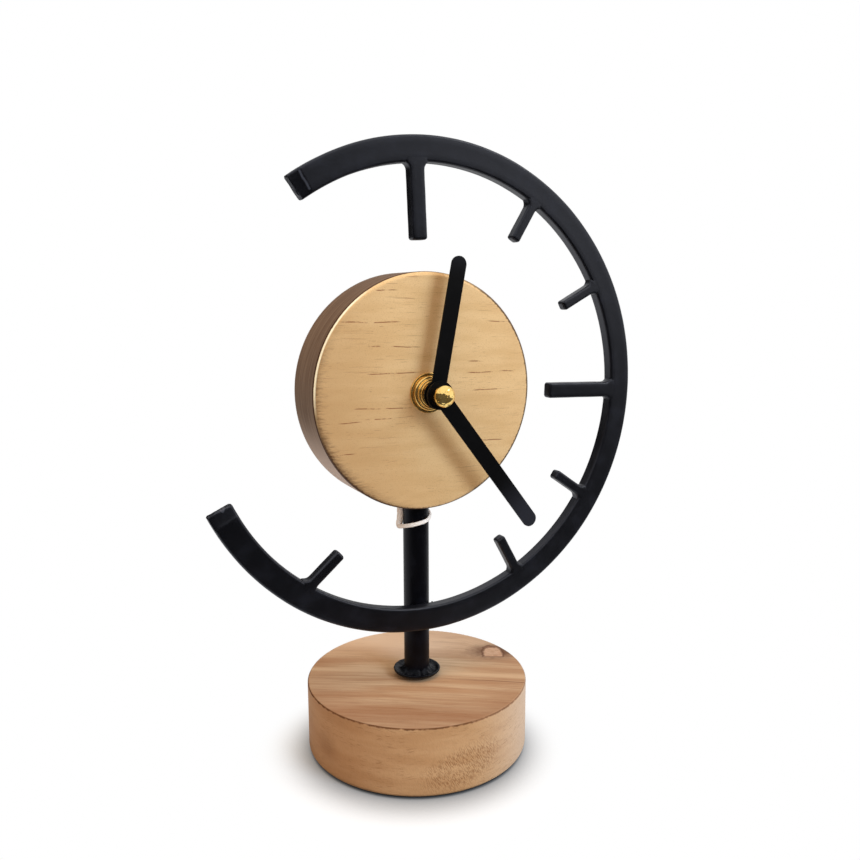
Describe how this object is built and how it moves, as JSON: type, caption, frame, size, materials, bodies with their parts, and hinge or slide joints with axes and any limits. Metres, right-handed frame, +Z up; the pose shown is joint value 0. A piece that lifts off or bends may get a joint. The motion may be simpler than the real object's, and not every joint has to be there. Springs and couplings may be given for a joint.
{
  "type": "table clock",
  "caption": "Table clock with a round wooden face on a steel post, an open black hour ring with bar markers, two hands, a battery movement and a round wooden base.",
  "frame": {"origin": "middle of the underside, on the surface that the clock stands on", "axes": "+Z up; the clock faces -Y; +X is to the right seen from the front"},
  "size_m": [0.172, 0.085, 0.2278],
  "materials": {
    "base_wood": "oiled pine, grain left to right",
    "face_wood": "satin gold lacquer on wood",
    "pad": "matte foam",
    "black_steel": "satin black powder coat",
    "hand_black": "matte black",
    "bare_steel": "zinc plated",
    "brass": "polished",
    "gasket_rubber": "matte",
    "case_plastic": "fine texture, black",
    "gear_plastic": "natural acetal",
    "copper_wire": "enamelled copper wire",
    "board": "green board",
    "battery_wrap": "plain dark wrap with a band",
    "string": "off-white twisted cotton"
  },
  "bodies": {
    "stand": {"base": "base_wood", "face_disc": "face_wood", "base_pad": "pad", "post": "black_steel", "foot_flange": "black_steel", "hour_ring": "black_steel", "ring_weld": "black_steel", "base_bolt": "bare_steel", "base_washer": "bare_steel", "post_stud": "bare_steel", "shaft_washer": "brass", "shaft_nut": "brass", "threaded_bush": "brass", "gasket": "gasket_rubber", "movement_case": "case_plastic", "back_cover": "case_plastic", "bridge_plate": "gear_plastic", "stator": "bare_steel", "coil_core": "bare_steel", "coil": "copper_wire", "circuit_board": "board", "crystal": "bare_steel", "contact_positive": "bare_steel", "contact_negative": "bare_steel", "tag_string": "string", "marker_12": "black_steel", "marker_1": "black_steel", "marker_2": "black_steel", "marker_3": "black_steel", "marker_4": "black_steel", "marker_5": "black_steel", "marker_7": "black_steel"},
    "minute": {"minute_hand": "hand_black", "minute_arbor": "brass", "cap_nut": "brass"},
    "hour": {"hour_hand": "hand_black", "hour_wheel": "gear_plastic"},
    "motion": {"motion_wheel": "gear_plastic"},
    "setting": {"set_knob": "case_plastic"},
    "centre": {"centre_wheel": "gear_plastic"},
    "third": {"third_wheel": "gear_plastic"},
    "second": {"second_wheel": "gear_plastic"},
    "step": {"step_wheel": "gear_plastic"},
    "rotor": {"rotor": "gear_plastic"},
    "battery": {"battery": "battery_wrap"}
  },
  "joints": [
    {"name": "minute_turn", "type": "hinge", "parent": "stand", "child": "minute", "pos_m": [0, 0, 0.1384], "axis": [0, 1, 0], "continuous": true},
    {"name": "hour_turn", "type": "hinge", "parent": "stand", "child": "hour", "pos_m": [0, 0, 0.1384], "axis": [0, 1, 0], "continuous": true},
    {"name": "motion_turn", "type": "hinge", "parent": "stand", "child": "motion", "pos_m": [-0.00707, 0, 0.14547], "axis": [0, 1, 0], "continuous": true},
    {"name": "set_turn", "type": "hinge", "parent": "stand", "child": "setting", "pos_m": [-0.00881, 0, 0.15532], "axis": [0, 1, 0], "continuous": true},
    {"name": "step_turn", "type": "hinge", "parent": "stand", "child": "step", "pos_m": [-0.00085, 0, 0.14816], "axis": [0, 1, 0], "continuous": true},
    {"name": "rotor_turn", "type": "hinge", "parent": "stand", "child": "rotor", "pos_m": [0.00652, 0, 0.15332], "axis": [0, 1, 0], "continuous": true},
    {"name": "second_turn", "type": "hinge", "parent": "stand", "child": "second", "pos_m": [0, 0, 0.1384], "axis": [0, 1, 0], "continuous": true},
    {"name": "third_turn", "type": "hinge", "parent": "stand", "child": "third", "pos_m": [0.00947, 0, 0.14185], "axis": [0, 1, 0], "continuous": true},
    {"name": "centre_turn", "type": "hinge", "parent": "stand", "child": "centre", "pos_m": [0, 0, 0.1384], "axis": [0, 1, 0], "continuous": true},
    {"name": "battery_slide", "type": "slide", "parent": "stand", "child": "battery", "axis": [0, 1, 0], "range_m": [0, 0.03]}
  ],
  "couplings": [
    {"joint": "hour_turn", "follows": "minute_turn", "ratio": 0.083333},
    {"joint": "motion_turn", "follows": "minute_turn", "ratio": -0.33333},
    {"joint": "set_turn", "follows": "minute_turn", "ratio": 1},
    {"joint": "rotor_turn", "follows": "step_turn", "ratio": -5},
    {"joint": "second_turn", "follows": "step_turn", "ratio": -0.16667},
    {"joint": "third_turn", "follows": "step_turn", "ratio": 0.022222},
    {"joint": "centre_turn", "follows": "step_turn", "ratio": -0.0027778}
  ]
}
